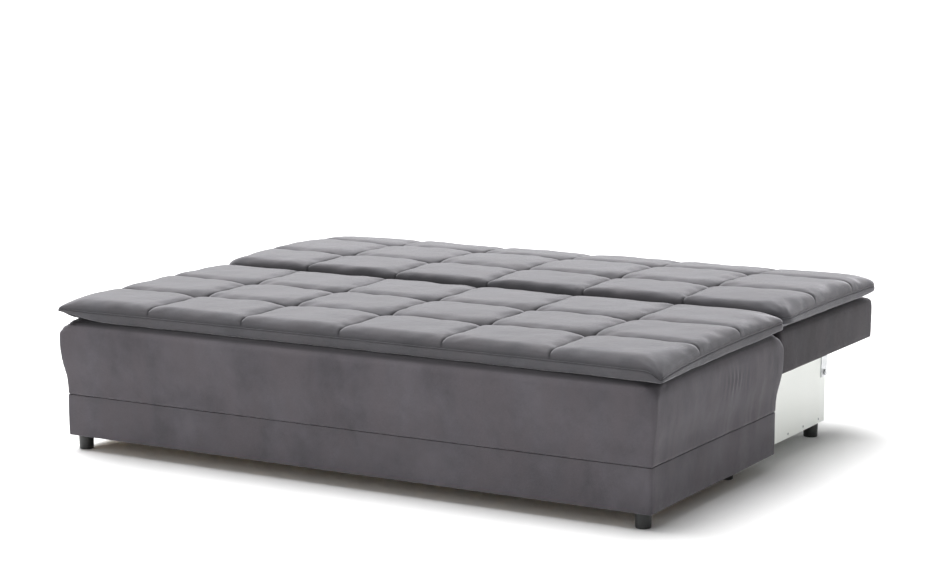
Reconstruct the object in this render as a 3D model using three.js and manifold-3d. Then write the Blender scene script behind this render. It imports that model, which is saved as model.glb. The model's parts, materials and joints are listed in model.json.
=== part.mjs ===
// Pull-out sofa bed, opened out as a bed. Millimetres, +X to the right seen from the front, +Y to the rear,
// +Z up. The origin is on the floor under the middle of the whole piece.
import * as THREE from "three";
import { mergeVertices } from "three/addons/utils/BufferGeometryUtils.js";
import Module from "manifold-3d";

const wasm = await Module();
wasm.setup();

// ---- Driving dimensions -------------------------------------------------------------------------------
const GAP = 0.3; // between pieces that touch

const BODY_HALF_WIDTH = 970; // plinth and back slab, from the middle to the side
const PAD_HALF_WIDTH = 1000; // a 2 m long lying surface
const FLARE = 16.5; // how far the seat body bulges past its plinth

const FOOT_HEIGHT = 44;
const FOOT_RADIUS = 22.5;

const SEAT_DEPTH = 827; // plinth, front to rear
const SEAT_SEAM_Z = 169; // where the plinth band meets the upper cover
const SEAT_BULGE_Z = 345;
const SEAT_TOP_Z = 400;
const SEAT_WALL = 16; // seat boards
const SEAT_COVER = 24; // cover and wadding outside the side boards
const DECK_Z = 290.3;
const DECK_THICKNESS = 11.7;

const SLAB_FRONT_Y = 852;
const SLAB_REAR_Y = 1609;
const SLAB_BOTTOM_Z = 271;
const SLAB_TOP_Z = 399;
const RAIL_THICKNESS = 20;
const SIDE_RAIL_INNER_X = 906;
const SIDE_RAIL_OUTER_X = 930;
const BACK_RAIL_BOTTOM_Z = 273.1;
const BACK_RAIL_TOP_Z = 345;

const BOX_OUTER_X = 921.5;
const BOX_FRONT_Y = 611;
const BOX_REAR_Y = 1340;
const BOX_TOP_Z = 266;
const BOARD = 16; // chipboard

const PIVOT_Y = 1161; // where a swing arm turns on the bedding box
const PIVOT_Z = 91.1;
const HINGE_Y = 880; // where the same arm carries the back
const HINGE_Z = 293;
const ARM_INNER_X = 888;
const ARM_THICKNESS = 6;
const ARM_HALF_WIDTH = 15;
const STUD_RADIUS = 6;
const STUD_CLEARANCE = 0.06;

const BRACKET_FRONT_Y = 1300;
const BRACKET_REAR_Y = 1347;
const BRACKET_BOTTOM_Z = 186;
const BRACKET_TOP_Z = 268;
const BRACKET_THICKNESS = 2.5;
const FIXING_Y = 1326; // the screw that holds the bracket
const FIXING_Z = 199;
const FIXING_RADIUS = 4;

const BODY_FRONT_Y = -FLARE;
const ORIGIN_Y = (BODY_FRONT_Y + SLAB_REAR_Y) / 2; // the middle of the whole depth

// ---- Materials ----------------------------------------------------------------------------------------
const VELVET = { color: 0x6b696d, roughness: 0.9, metalness: 0 };
const PAD_VELVET = { color: 0x9a9a9f, roughness: 0.9, metalness: 0 };
const WHITE_BOARD = { color: 0xdfe2dd, roughness: 0.55, metalness: 0 };
const RAW_BOARD = { color: 0xc2a376, roughness: 0.85, metalness: 0 };
const TIMBER = { color: 0xc9a26b, roughness: 0.8, metalness: 0 };
const FOAM = { color: 0xe4dcc4, roughness: 1, metalness: 0 };
const DUST_CLOTH = { color: 0x1f1f21, roughness: 1, metalness: 0 };
const BLACK_PLASTIC = { color: 0x26282a, roughness: 0.5, metalness: 0 };
const STEEL = { color: 0xb8babb, roughness: 0.35, metalness: 0.9 };

// ---- Helpers ------------------------------------------------------------------------------------------
const sofa = new THREE.Group();
sofa.position.y = -ORIGIN_Y;

function add(name, geometry, look) {
  const mesh = new THREE.Mesh(geometry, new THREE.MeshStandardMaterial(look));
  mesh.name = name;
  sofa.add(mesh);
  return mesh;
}

function box(x0, x1, y0, y1, z0, z1) {
  const geometry = new THREE.BoxGeometry(x1 - x0, y1 - y0, z1 - z0);
  return geometry.translate((x0 + x1) / 2, (y0 + y1) / 2, (z0 + z1) / 2);
}

function outline(points) {
  return new THREE.Shape(points.map(([a, b]) => new THREE.Vector2(a, b)));
}

function roundHole(shape, a, b, radius) {
  const hole = new THREE.Path();
  hole.absarc(a, b, radius, 0, Math.PI * 2, true);
  shape.holes.push(hole);
}

function extrude(shape, thickness) {
  return new THREE.ExtrudeGeometry(shape, { depth: thickness, bevelEnabled: false, curveSegments: 14 });
}

// A shape drawn in (y, z), made thick along +X from x0.
function plateAcrossX(shape, x0, thickness) {
  const turn = new THREE.Matrix4().makeBasis(
    new THREE.Vector3(0, 1, 0),
    new THREE.Vector3(0, 0, 1),
    new THREE.Vector3(1, 0, 0),
  );
  return extrude(shape, thickness).applyMatrix4(turn).translate(x0, 0, 0);
}

// A shape drawn in (x, z), made thick from y0 to y0 + thickness.
function plateAcrossY(shape, y0, thickness) {
  return extrude(shape, thickness).rotateX(Math.PI / 2).translate(0, y0 + thickness, 0);
}

// A shape drawn in (x, y), made thick upwards from z0.
function plateAcrossZ(shape, z0, thickness) {
  return extrude(shape, thickness).translate(0, 0, z0);
}

// Where a piece on the right has its twin on the left: x0 is the edge nearer the middle.
function startX(side, x0, thickness) {
  return side > 0 ? x0 : -x0 - thickness;
}

const SIDES = [
  [1, "right"],
  [-1, "left"],
];

// Two distances from the middle plane as a pair of X values on one side, the smaller first.
function spanX(side, near, far) {
  return [side * near, side * far].sort((a, b) => a - b);
}

function solid(geometry) {
  const plain = geometry.clone();
  plain.deleteAttribute("normal");
  plain.deleteAttribute("uv");
  const merged = mergeVertices(plain, 1e-4);
  return new wasm.Manifold(
    new wasm.Mesh({
      numProp: 3,
      vertProperties: merged.attributes.position.array,
      triVerts: new Uint32Array(merged.index.array),
    }),
  );
}

function geometryOf(manifold) {
  const mesh = manifold.getMesh();
  const geometry = new THREE.BufferGeometry();
  geometry.setAttribute("position", new THREE.BufferAttribute(Float32Array.from(mesh.vertProperties), 3));
  geometry.setIndex(new THREE.BufferAttribute(Uint32Array.from(mesh.triVerts), 1));
  const shaded = geometry.toNonIndexed();
  shaded.computeVertexNormals();
  return shaded;
}

function cut(geometry, ...tools) {
  return geometryOf(tools.reduce((body, tool) => body.subtract(solid(tool)), solid(geometry)));
}

function join(geometry, ...others) {
  return geometryOf(others.reduce((body, other) => body.add(solid(other)), solid(geometry)));
}

// One level of a cushion: a rounded rectangle, counter-clockwise seen from above.
function roundedRing(halfX, y0, y1, radius, z, steps = 5) {
  const corners = [
    [halfX - radius, y1 - radius, 0],
    [-halfX + radius, y1 - radius, 1],
    [-halfX + radius, y0 + radius, 2],
    [halfX - radius, y0 + radius, 3],
  ];
  return corners.flatMap(([cx, cy, quarter]) =>
    Array.from({ length: steps + 1 }, (_, i) => {
      const angle = ((quarter + i / steps) * Math.PI) / 2;
      return [cx + radius * Math.cos(angle), cy + radius * Math.sin(angle), z];
    }),
  );
}

// A closed body through levels that are listed from the bottom up.
function loft(levels) {
  const rings = levels.map(({ halfX, y0, y1, radius, z }) => roundedRing(halfX, y0, y1, radius, z));
  const count = rings[0].length;
  const middle = ({ y0, y1, z }) => [0, (y0 + y1) / 2, z];
  const points = [...rings.flat(), middle(levels[0]), middle(levels.at(-1))];
  const bottom = points.length - 2;
  const top = points.length - 1;
  const faces = [];
  for (let i = 0; i < count; i++) {
    const next = (i + 1) % count;
    for (let level = 0; level + 1 < rings.length; level++) {
      const low = level * count;
      const high = low + count;
      faces.push(low + i, low + next, high + next, low + i, high + next, high + i);
    }
    const last = (rings.length - 1) * count;
    faces.push(bottom, next, i, top, last + i, last + next);
  }
  const geometry = new THREE.BufferGeometry();
  geometry.setAttribute("position", new THREE.BufferAttribute(new Float32Array(points.flat()), 3));
  geometry.setIndex(faces);
  return geometry;
}

function cylinderAlongX(radius, x0, x1, y, z, sides = 32) {
  const geometry = new THREE.CylinderGeometry(radius, radius, x1 - x0, sides);
  return geometry.rotateZ(Math.PI / 2).translate((x0 + x1) / 2, y, z);
}

// ---- Feet: turned plastic, slightly narrower at the floor ----------------------------------------------
const footProfile = [
  [0, 0],
  [FOOT_RADIUS - 2.5, 0],
  [FOOT_RADIUS - 1, 2],
  [FOOT_RADIUS, FOOT_HEIGHT - 6],
  [FOOT_RADIUS, FOOT_HEIGHT - GAP],
  [0, FOOT_HEIGHT - GAP],
].map(([r, z]) => new THREE.Vector2(r, z));

function foot(name, x, y) {
  const geometry = new THREE.LatheGeometry(footProfile, 36).rotateX(Math.PI / 2);
  add(name, geometry.translate(x, y, 0), BLACK_PLASTIC);
}

// ---- Bedding box ---------------------------------------------------------------------------------------
const BOX_INNER_X = BOX_OUTER_X - BOARD;
const PANEL_EDGE_X = BOX_INNER_X - GAP;
const BOTTOM_THICKNESS = 10;
const NOTCH_LOW_Z = 196; // the rear panel's notches, which the swing arms pass through
const NOTCH_INNER_X = 881;
const NOTCH_OUTER_X = 901;
const SCREW_Z = 57;
const SCREW_PLACES = [1045, 1165, 1290];

for (const [side, word] of SIDES) {
  const panel = outline([
    [BOX_FRONT_Y, FOOT_HEIGHT],
    [BOX_REAR_Y, FOOT_HEIGHT],
    [BOX_REAR_Y, BOX_TOP_Z],
    [BOX_FRONT_Y, BOX_TOP_Z],
  ]);
  roundHole(panel, FIXING_Y, FIXING_Z, FIXING_RADIUS + 0.2);
  add(`box_side_${word}`, plateAcrossX(panel, startX(side, BOX_INNER_X, BOARD), BOARD), WHITE_BOARD);

  const plate = outline([
    [BRACKET_FRONT_Y, BRACKET_BOTTOM_Z],
    [BRACKET_REAR_Y, BRACKET_BOTTOM_Z],
    [BRACKET_REAR_Y, BRACKET_TOP_Z],
    [BRACKET_FRONT_Y, BRACKET_TOP_Z],
  ]);
  roundHole(plate, FIXING_Y, FIXING_Z, FIXING_RADIUS + 0.2);
  const plateX = BOX_OUTER_X + GAP;
  const upright = plateAcrossX(plate, startX(side, plateX, BRACKET_THICKNESS), BRACKET_THICKNESS);
  const ledge = box(
    ...spanX(side, plateX, plateX + 32),
    BRACKET_FRONT_Y,
    BRACKET_REAR_Y,
    BRACKET_TOP_Z - BRACKET_THICKNESS,
    BRACKET_TOP_Z,
  );
  add(`rear_bracket_${word}`, join(upright, ledge), STEEL);

  const headX = plateX + BRACKET_THICKNESS + GAP;
  const shankX = spanX(side, BOX_INNER_X + 2, headX + 1);
  const shank = cylinderAlongX(FIXING_RADIUS, ...shankX, FIXING_Y, FIXING_Z);
  const head = cylinderAlongX(8.5, ...spanX(side, headX, headX + 4), FIXING_Y, FIXING_Z);
  const socket = cylinderAlongX(3, ...spanX(side, headX + 1.5, headX + 5), FIXING_Y, FIXING_Z, 6);
  add(`bracket_screw_${word}`, cut(join(shank, head), socket), STEEL);

  const pivotPlateX = spanX(side, PANEL_EDGE_X - 3, PANEL_EDGE_X);
  const pivotPlate = box(...pivotPlateX, PIVOT_Y - 32, PIVOT_Y + 32, 60, 122);
  const pivotStudX = spanX(side, ARM_INNER_X - 3, PANEL_EDGE_X - 2);
  const pivotStud = cylinderAlongX(STUD_RADIUS, ...pivotStudX, PIVOT_Y, PIVOT_Z);
  add(`box_pivot_plate_${word}`, join(pivotPlate, pivotStud), STEEL);

  foot(`box_foot_front_${word}`, side * 896, 645);
  foot(`box_foot_rear_${word}`, side * 896, 1292);

  SCREW_PLACES.forEach((y, i) => {
    const dome = new THREE.SphereGeometry(4, 16, 6, 0, Math.PI * 2, 0, Math.PI / 2);
    dome.scale(1, 0.45, 1).rotateZ((-side * Math.PI) / 2);
    const disc = new THREE.CircleGeometry(4, 16).rotateY((-side * Math.PI) / 2);
    const points = [...dome.toNonIndexed().attributes.position.array];
    points.push(...disc.toNonIndexed().attributes.position.array);
    const geometry = new THREE.BufferGeometry();
    geometry.setAttribute("position", new THREE.BufferAttribute(new Float32Array(points), 3));
    add(`panel_screw_${word}_${i + 1}`, geometry.translate(side * (BOX_OUTER_X + GAP), y, SCREW_Z), STEEL);
  });
}

add(
  "box_front_panel",
  box(-PANEL_EDGE_X, PANEL_EDGE_X, BOX_FRONT_Y, BOX_FRONT_Y + BOARD, FOOT_HEIGHT, BOX_TOP_Z),
  WHITE_BOARD,
);

const rearPanel = outline([
  [-PANEL_EDGE_X, FOOT_HEIGHT],
  [PANEL_EDGE_X, FOOT_HEIGHT],
  [PANEL_EDGE_X, BOX_TOP_Z],
  [NOTCH_OUTER_X, BOX_TOP_Z],
  [NOTCH_OUTER_X, NOTCH_LOW_Z],
  [NOTCH_INNER_X, NOTCH_LOW_Z],
  [NOTCH_INNER_X, BOX_TOP_Z],
  [-NOTCH_INNER_X, BOX_TOP_Z],
  [-NOTCH_INNER_X, NOTCH_LOW_Z],
  [-NOTCH_OUTER_X, NOTCH_LOW_Z],
  [-NOTCH_OUTER_X, BOX_TOP_Z],
  [-PANEL_EDGE_X, BOX_TOP_Z],
]);
add("box_rear_panel", plateAcrossY(rearPanel, BOX_REAR_Y - BOARD, BOARD), WHITE_BOARD);

const insideFrontY = BOX_FRONT_Y + BOARD + GAP;
const insideRearY = BOX_REAR_Y - BOARD - GAP;
add(
  "box_bottom_panel",
  box(-PANEL_EDGE_X, PANEL_EDGE_X, insideFrontY, insideRearY, FOOT_HEIGHT, FOOT_HEIGHT + BOTTOM_THICKNESS),
  WHITE_BOARD,
);
const dividerZ = FOOT_HEIGHT + BOTTOM_THICKNESS + GAP;
add("box_divider", box(-BOARD / 2, BOARD / 2, insideFrontY, insideRearY, dividerZ, 220), WHITE_BOARD);

// ---- Swing arms: flat steel, an eye at each end ---------------------------------------------------------
function armOutline() {
  const along = new THREE.Vector2(HINGE_Y - PIVOT_Y, HINGE_Z - PIVOT_Z);
  const angle = along.angle();
  const shape = new THREE.Shape();
  shape.absarc(PIVOT_Y, PIVOT_Z, ARM_HALF_WIDTH, angle + Math.PI / 2, angle + (3 * Math.PI) / 2, false);
  shape.absarc(HINGE_Y, HINGE_Z, ARM_HALF_WIDTH, angle - Math.PI / 2, angle + Math.PI / 2, false);
  roundHole(shape, PIVOT_Y, PIVOT_Z, STUD_RADIUS + STUD_CLEARANCE);
  roundHole(shape, HINGE_Y, HINGE_Z, STUD_RADIUS + STUD_CLEARANCE);
  return shape;
}

for (const [side, word] of SIDES) {
  const x0 = startX(side, ARM_INNER_X, ARM_THICKNESS);
  add(`swing_arm_${word}`, plateAcrossX(armOutline(), x0, ARM_THICKNESS), STEEL);
}

// ---- Seat unit -----------------------------------------------------------------------------------------
const SEAT_OUTER_X = BODY_HALF_WIDTH - SEAT_COVER; // outer face of the side boards
const SEAT_INNER_X = SEAT_OUTER_X - SEAT_WALL;
const SEAT_COVER_FRONT = 15.7;
const SEAT_BOARD_BOTTOM_Z = FOOT_HEIGHT;
const SEAT_BOARD_TOP_Z = 380;
const SEAT_REAR_Y = 806;
const REAR_OPENING_TOP_Z = 288; // the bedding box passes below this edge

for (const [side, word] of SIDES) {
  const sideY = [SEAT_COVER_FRONT + GAP + SEAT_WALL + GAP, SEAT_REAR_Y];
  add(
    `seat_side_board_${word}`,
    box(...spanX(side, SEAT_INNER_X, SEAT_OUTER_X), ...sideY, SEAT_BOARD_BOTTOM_Z, SEAT_BOARD_TOP_Z),
    RAW_BOARD,
  );
  add(`seat_runner_${word}`, box(...spanX(side, 903, 924), 60, 800, BOX_TOP_Z + 0.4, DECK_Z - GAP), TIMBER);
  foot(`seat_foot_${word}`, side * 932, 34);
}

add(
  "seat_front_board",
  box(
    -SEAT_OUTER_X,
    SEAT_OUTER_X,
    SEAT_COVER_FRONT + GAP,
    SEAT_COVER_FRONT + GAP + SEAT_WALL,
    SEAT_BOARD_BOTTOM_Z,
    SEAT_BOARD_TOP_Z,
  ),
  RAW_BOARD,
);
const seatInsideX = SEAT_INNER_X - GAP;
const seatInsideY = SEAT_COVER_FRONT + SEAT_WALL + 2 * GAP;
const deckTopZ = DECK_Z + DECK_THICKNESS;
add("seat_deck", box(-seatInsideX, seatInsideX, seatInsideY, SEAT_REAR_Y, DECK_Z, deckTopZ), RAW_BOARD);
const railZ = [deckTopZ + GAP, SEAT_BOARD_TOP_Z];
add(
  "seat_rear_rail",
  box(-seatInsideX, seatInsideX, SEAT_REAR_Y - RAIL_THICKNESS, SEAT_REAR_Y, ...railZ),
  TIMBER,
);
add(
  "seat_foam",
  box(
    -seatInsideX,
    seatInsideX,
    seatInsideY,
    SEAT_REAR_Y - RAIL_THICKNESS - GAP,
    deckTopZ + GAP,
    SEAT_BOARD_TOP_Z,
  ),
  FOAM,
);

const seatLevel = (outset, radius, z) => ({
  halfX: BODY_HALF_WIDTH + outset,
  y0: -outset,
  y1: SEAT_DEPTH + outset,
  radius,
  z,
});
const upperCover = loft([
  seatLevel(0, 8, SEAT_SEAM_Z + GAP),
  seatLevel(FLARE * 0.55, 12, 270),
  seatLevel(FLARE, 20, SEAT_BULGE_Z),
  seatLevel(FLARE, 24, SEAT_BULGE_Z + 12),
  seatLevel(11, 30, 376),
  seatLevel(-6, 36, 389),
  seatLevel(-30, 40, 396),
  seatLevel(-55, 40, SEAT_TOP_Z),
]);
const coverInsideX = SEAT_OUTER_X + GAP;
const coverInsideRearY = SEAT_REAR_Y + GAP;
add(
  "seat_upper_cover",
  cut(
    upperCover,
    box(-coverInsideX, coverInsideX, SEAT_COVER_FRONT, coverInsideRearY, 100, SEAT_BOARD_TOP_Z + GAP),
    box(-coverInsideX, coverInsideX, SEAT_REAR_Y - 40, SEAT_DEPTH + 60, 100, REAR_OPENING_TOP_Z),
  ),
  VELVET,
);

const plinthTurn = 7;
const plinth = new THREE.Shape();
plinth.moveTo(-BODY_HALF_WIDTH, SEAT_DEPTH);
plinth.lineTo(-BODY_HALF_WIDTH, plinthTurn);
plinth.quadraticCurveTo(-BODY_HALF_WIDTH, 0, -BODY_HALF_WIDTH + plinthTurn, 0);
plinth.lineTo(BODY_HALF_WIDTH - plinthTurn, 0);
plinth.quadraticCurveTo(BODY_HALF_WIDTH, 0, BODY_HALF_WIDTH, plinthTurn);
plinth.lineTo(BODY_HALF_WIDTH, SEAT_DEPTH);
plinth.lineTo(coverInsideX, SEAT_DEPTH);
plinth.lineTo(coverInsideX, SEAT_COVER_FRONT);
plinth.lineTo(-coverInsideX, SEAT_COVER_FRONT);
plinth.lineTo(-coverInsideX, SEAT_DEPTH);
plinth.closePath();
add("seat_plinth_cover", plateAcrossZ(plinth, FOOT_HEIGHT, SEAT_SEAM_Z - FOOT_HEIGHT), VELVET);

// A pad: thin border at its foot, widest at the seam, domed top. Its corners are listed from the bottom up.
function pad(name, y0, y1, zLow, zSeam, zTop, radius) {
  const level = (inset, z) => ({
    halfX: PAD_HALF_WIDTH - inset,
    y0: y0 + inset,
    y1: y1 - inset,
    radius: radius + inset * 0.4,
    z,
  });
  add(
    name,
    loft([
      level(22, zLow),
      level(8, zLow + 5),
      level(0, zSeam),
      level(4, zSeam + 0.3 * (zTop - zSeam)),
      level(20, zSeam + 0.75 * (zTop - zSeam)),
      level(48, zTop),
    ]),
    PAD_VELVET,
  );
}

pad("seat_pad", -8, 806, SEAT_TOP_Z + 0.6, 425, 466, 20);

// ---- Back unit, lying flat -----------------------------------------------------------------------------
const COVER_FRONT_WALL = 8;
const frameFrontY = SLAB_FRONT_Y + COVER_FRONT_WALL + 0.4;
const frameRearY = SLAB_REAR_Y - COVER_FRONT_WALL;
const FRONT_RAIL_HALF_LENGTH = 870; // it stops short of the swing arms

for (const [side, word] of SIDES) {
  add(
    `back_side_rail_${word}`,
    box(
      ...spanX(side, SIDE_RAIL_INNER_X, SIDE_RAIL_OUTER_X),
      frameFrontY,
      frameRearY,
      BACK_RAIL_BOTTOM_Z,
      BACK_RAIL_TOP_Z,
    ),
    TIMBER,
  );
  add(
    `back_cross_rail_${word}`,
    box(
      ...spanX(side, 290, 310),
      frameFrontY + RAIL_THICKNESS + GAP,
      frameRearY - RAIL_THICKNESS - GAP,
      BACK_RAIL_BOTTOM_Z,
      BACK_RAIL_TOP_Z,
    ),
    TIMBER,
  );
  const plateOuterX = SIDE_RAIL_INNER_X - GAP;
  const plate = box(...spanX(side, plateOuterX - 3, plateOuterX), 862, 942, 274, 330);
  const studX = spanX(side, ARM_INNER_X - 3, plateOuterX - 2);
  const stud = cylinderAlongX(STUD_RADIUS, ...studX, HINGE_Y, HINGE_Z);
  add(`back_pivot_plate_${word}`, join(plate, stud), STEEL);
}

add(
  "back_front_rail",
  box(
    -FRONT_RAIL_HALF_LENGTH,
    FRONT_RAIL_HALF_LENGTH,
    frameFrontY,
    frameFrontY + RAIL_THICKNESS,
    BACK_RAIL_BOTTOM_Z,
    BACK_RAIL_TOP_Z,
  ),
  TIMBER,
);
const rearRailX = SIDE_RAIL_INNER_X - GAP;
add(
  "back_rear_rail",
  box(-rearRailX, rearRailX, frameRearY - RAIL_THICKNESS, frameRearY, BACK_RAIL_BOTTOM_Z, BACK_RAIL_TOP_Z),
  TIMBER,
);
const backDeckTopZ = BACK_RAIL_TOP_Z + 8;
const backDeckZ = BACK_RAIL_TOP_Z + GAP;
add(
  "back_deck",
  box(-SIDE_RAIL_OUTER_X, SIDE_RAIL_OUTER_X, frameFrontY, frameRearY, backDeckZ, backDeckTopZ),
  RAW_BOARD,
);
add(
  "back_foam",
  box(-SIDE_RAIL_OUTER_X, SIDE_RAIL_OUTER_X, frameFrontY, frameRearY, backDeckTopZ + GAP, 392),
  FOAM,
);

const slabLevel = (inset, z) => ({
  halfX: BODY_HALF_WIDTH - inset,
  y0: SLAB_FRONT_Y + inset,
  y1: SLAB_REAR_Y - inset,
  radius: 14,
  z,
});
const slab = loft([
  slabLevel(2, SLAB_BOTTOM_Z),
  slabLevel(0, SLAB_BOTTOM_Z + 4),
  slabLevel(0, SLAB_TOP_Z - 14),
  slabLevel(4, SLAB_TOP_Z - 5),
  slabLevel(13, SLAB_TOP_Z),
]);
const frameX = SIDE_RAIL_OUTER_X + GAP;
const armSlots = SIDES.map(([side]) =>
  box(
    ...spanX(side, NOTCH_INNER_X, NOTCH_OUTER_X),
    SLAB_FRONT_Y - 20,
    frameFrontY + 1,
    SLAB_BOTTOM_Z - 10,
    344,
  ),
);
const slabInside = box(-frameX, frameX, frameFrontY - GAP, frameRearY + GAP, SLAB_BOTTOM_Z - 20, 392.4);
add("back_cover", cut(slab, slabInside, ...armSlots), VELVET);

const dustFrontY = frameFrontY + 1;
const slotEndY = 990;
const dustX = SIDE_RAIL_OUTER_X - 1;
const dustSheet = outline([
  [-dustX, dustFrontY],
  [-SIDE_RAIL_INNER_X, dustFrontY],
  [-SIDE_RAIL_INNER_X, slotEndY],
  [-FRONT_RAIL_HALF_LENGTH, slotEndY],
  [-FRONT_RAIL_HALF_LENGTH, dustFrontY],
  [FRONT_RAIL_HALF_LENGTH, dustFrontY],
  [FRONT_RAIL_HALF_LENGTH, slotEndY],
  [SIDE_RAIL_INNER_X, slotEndY],
  [SIDE_RAIL_INNER_X, dustFrontY],
  [dustX, dustFrontY],
  [dustX, frameRearY - 1],
  [-dustX, frameRearY - 1],
]);
add("back_dust_cover", plateAcrossZ(dustSheet, SLAB_BOTTOM_Z + 0.3, 1.5), DUST_CLOTH);

pad("back_pad", 826, 1588, SLAB_TOP_Z + 0.6, 430, 492, 40);

export default sofa;
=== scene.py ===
import json
import math

import bmesh
import bpy
import numpy as np
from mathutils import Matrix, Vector, noise


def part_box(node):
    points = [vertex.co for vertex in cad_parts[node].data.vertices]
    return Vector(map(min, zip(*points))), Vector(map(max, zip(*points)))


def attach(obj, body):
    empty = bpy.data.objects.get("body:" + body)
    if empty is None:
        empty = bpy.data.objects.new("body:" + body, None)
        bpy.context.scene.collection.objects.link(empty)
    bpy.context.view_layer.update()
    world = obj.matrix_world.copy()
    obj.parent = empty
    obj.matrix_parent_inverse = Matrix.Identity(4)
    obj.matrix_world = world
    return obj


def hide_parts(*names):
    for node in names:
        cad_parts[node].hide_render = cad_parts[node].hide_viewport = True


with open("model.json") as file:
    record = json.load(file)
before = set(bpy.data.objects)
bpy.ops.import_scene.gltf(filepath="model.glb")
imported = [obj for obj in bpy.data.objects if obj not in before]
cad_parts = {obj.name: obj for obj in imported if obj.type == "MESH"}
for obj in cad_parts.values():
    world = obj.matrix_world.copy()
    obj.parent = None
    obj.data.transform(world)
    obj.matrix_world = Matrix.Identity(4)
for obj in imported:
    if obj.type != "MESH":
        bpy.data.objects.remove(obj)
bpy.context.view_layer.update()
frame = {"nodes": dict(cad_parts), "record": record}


# ---- Camera --------------------------------------------------------------------------------------
CAMERA_PLACE = (3.4561, -6.0139, 1.5297)  # solved from the photo's straight edges
CAMERA_DOWN = 8.69  # degrees below level
CAMERA_TURN = 30.26  # degrees round Z
LENS_MM = 88.33
SENSOR_MM = 36.0


def make_camera():
    data = bpy.data.cameras.new("camera")
    data.sensor_width = SENSOR_MM
    data.lens = LENS_MM
    data.clip_end = 100
    camera = bpy.data.objects.new("camera", data)
    bpy.context.scene.collection.objects.link(camera)
    camera.location = CAMERA_PLACE
    camera.rotation_euler = (math.radians(90 - CAMERA_DOWN), 0, math.radians(CAMERA_TURN))
    bpy.context.scene.camera = camera


make_camera()


# ---- Places from the CAD -------------------------------------------------------------------------
def span(node):
    """Low and high corner of a CAD node."""
    low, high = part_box(node)
    return Vector(low), Vector(high)


# ---- Materials -----------------------------------------------------------------------------------
class Nodes:
    """A material's node tree with short calls."""

    def __init__(self, name):
        self.material = bpy.data.materials.new(name)
        self.material.use_nodes = True
        self.tree = self.material.node_tree
        self.shader = next(n for n in self.tree.nodes if n.type == "BSDF_PRINCIPLED")
        self.place = self.add("ShaderNodeTexCoord").outputs["Object"]

    def add(self, kind, **values):
        node = self.tree.nodes.new(kind)
        for key, value in values.items():
            setattr(node, key, value)
        return node

    def link(self, source, target):
        self.tree.links.new(source, target)

    def noise(self, scale, detail=3.0, rough=0.5, stretch=None):
        """Object-space noise, 0 to 1."""
        node = self.add("ShaderNodeTexNoise")
        node.inputs["Scale"].default_value = scale
        node.inputs["Detail"].default_value = detail
        node.inputs["Roughness"].default_value = rough
        place = self.place
        if stretch is not None:
            mapping = self.add("ShaderNodeMapping")
            mapping.inputs["Scale"].default_value = stretch
            self.link(place, mapping.inputs["Vector"])
            place = mapping.outputs["Vector"]
        self.link(place, node.inputs["Vector"])
        return node.outputs["Fac"]

    def ramp(self, factor, stops):
        """Colour ramp. A stop's colour has three parts, or one for grey."""
        node = self.add("ShaderNodeValToRGB")
        elements = node.color_ramp.elements
        while len(elements) < len(stops):
            elements.new(0.5)
        for element, (position, colour) in zip(elements, stops):
            element.position = position
            element.color = (*colour, 1) if len(colour) == 3 else (colour[0],) * 3 + (1,)
        self.link(factor, node.inputs["Fac"])
        return node.outputs["Color"]

    def mix(self, factor, first, second, blend="MIX"):
        node = self.add("ShaderNodeMix", data_type="RGBA", blend_type=blend)
        for value, socket in ((factor, 0), (first, 6), (second, 7)):
            target = node.inputs[socket]
            if isinstance(value, (int, float)):
                target.default_value = value
            elif isinstance(value, tuple):
                target.default_value = (*value, 1)
            else:
                self.link(value, target)
        return node.outputs[2]

    def bump(self, height, strength, distance, under=None):
        node = self.add("ShaderNodeBump")
        node.inputs["Strength"].default_value = strength
        node.inputs["Distance"].default_value = distance
        self.link(height, node.inputs["Height"])
        if under is not None:
            self.link(under, node.inputs["Normal"])
        return node.outputs["Normal"]

    def finish(self, colour, rough, normal, **values):
        self.link(colour, self.shader.inputs["Base Color"])
        if isinstance(rough, (int, float)):
            self.shader.inputs["Roughness"].default_value = rough
        else:
            self.link(rough, self.shader.inputs["Roughness"])
        if normal is not None:
            self.link(normal, self.shader.inputs["Normal"])
        for key, value in values.items():
            self.shader.inputs[key.replace("_", " ")].default_value = value
        return self.material


BRUSHED_DARK = 0.68  # share of the base colour where the pile leans away
BRUSHED_LIGHT = 1.3  # and where it leans towards the light
PAINTED_SHADE_SHARE = 0.38  # and in the painted shade on seams, in dimples and under the pad's edge


def scaled(colour, factor):
    return tuple(c * factor for c in colour)


def velvet(name, base, warm, sheen):
    """Short-pile velvet: brushed patches, a fine nap, painted shade in the seams and creases,
    sheen.
    """
    n = Nodes(name)
    patches = n.noise(6.5, 5.0, 0.62)
    strokes = n.noise(10.0, 4.0, 0.6, stretch=(1.0, 1.0, 0.4))
    dark = scaled(base, BRUSHED_DARK)
    light = scaled(base, BRUSHED_LIGHT)
    brushed = n.ramp(patches, [(0.32, dark), (0.5, base), (0.68, light)])
    tinted = n.mix(n.ramp(strokes, [(0.42, (0.0,)), (0.62, (0.7,))]), brushed, warm)
    nap = n.noise(520.0, 2.0, 0.6)
    fuzzy = n.mix(0.3, tinted, n.ramp(nap, [(0.3, dark), (0.7, light)]))
    seam = n.add("ShaderNodeAttribute", attribute_name="seam").outputs["Fac"]
    # painted shade: the seam attribute darkens the colour on seams, in dimples and under the pad's
    # edge
    painted_seam_shade = n.mix(seam, fuzzy, scaled(base, PAINTED_SHADE_SHARE))
    soft = n.bump(n.noise(22.0, 4.0, 0.55), 0.35, 0.003)
    normal = n.bump(n.noise(760.0, 2.0, 0.7), 0.4, 0.0007, under=soft)
    rough = n.ramp(patches, [(0.3, (0.8,)), (0.7, (0.95,))])
    return n.finish(
        painted_seam_shade,
        rough,
        normal,
        Sheen_Weight=sheen,
        Sheen_Roughness=0.32,
        Sheen_Tint=(0.93, 0.92, 0.96, 1),
        Specular_IOR_Level=0.1,
    )


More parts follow.
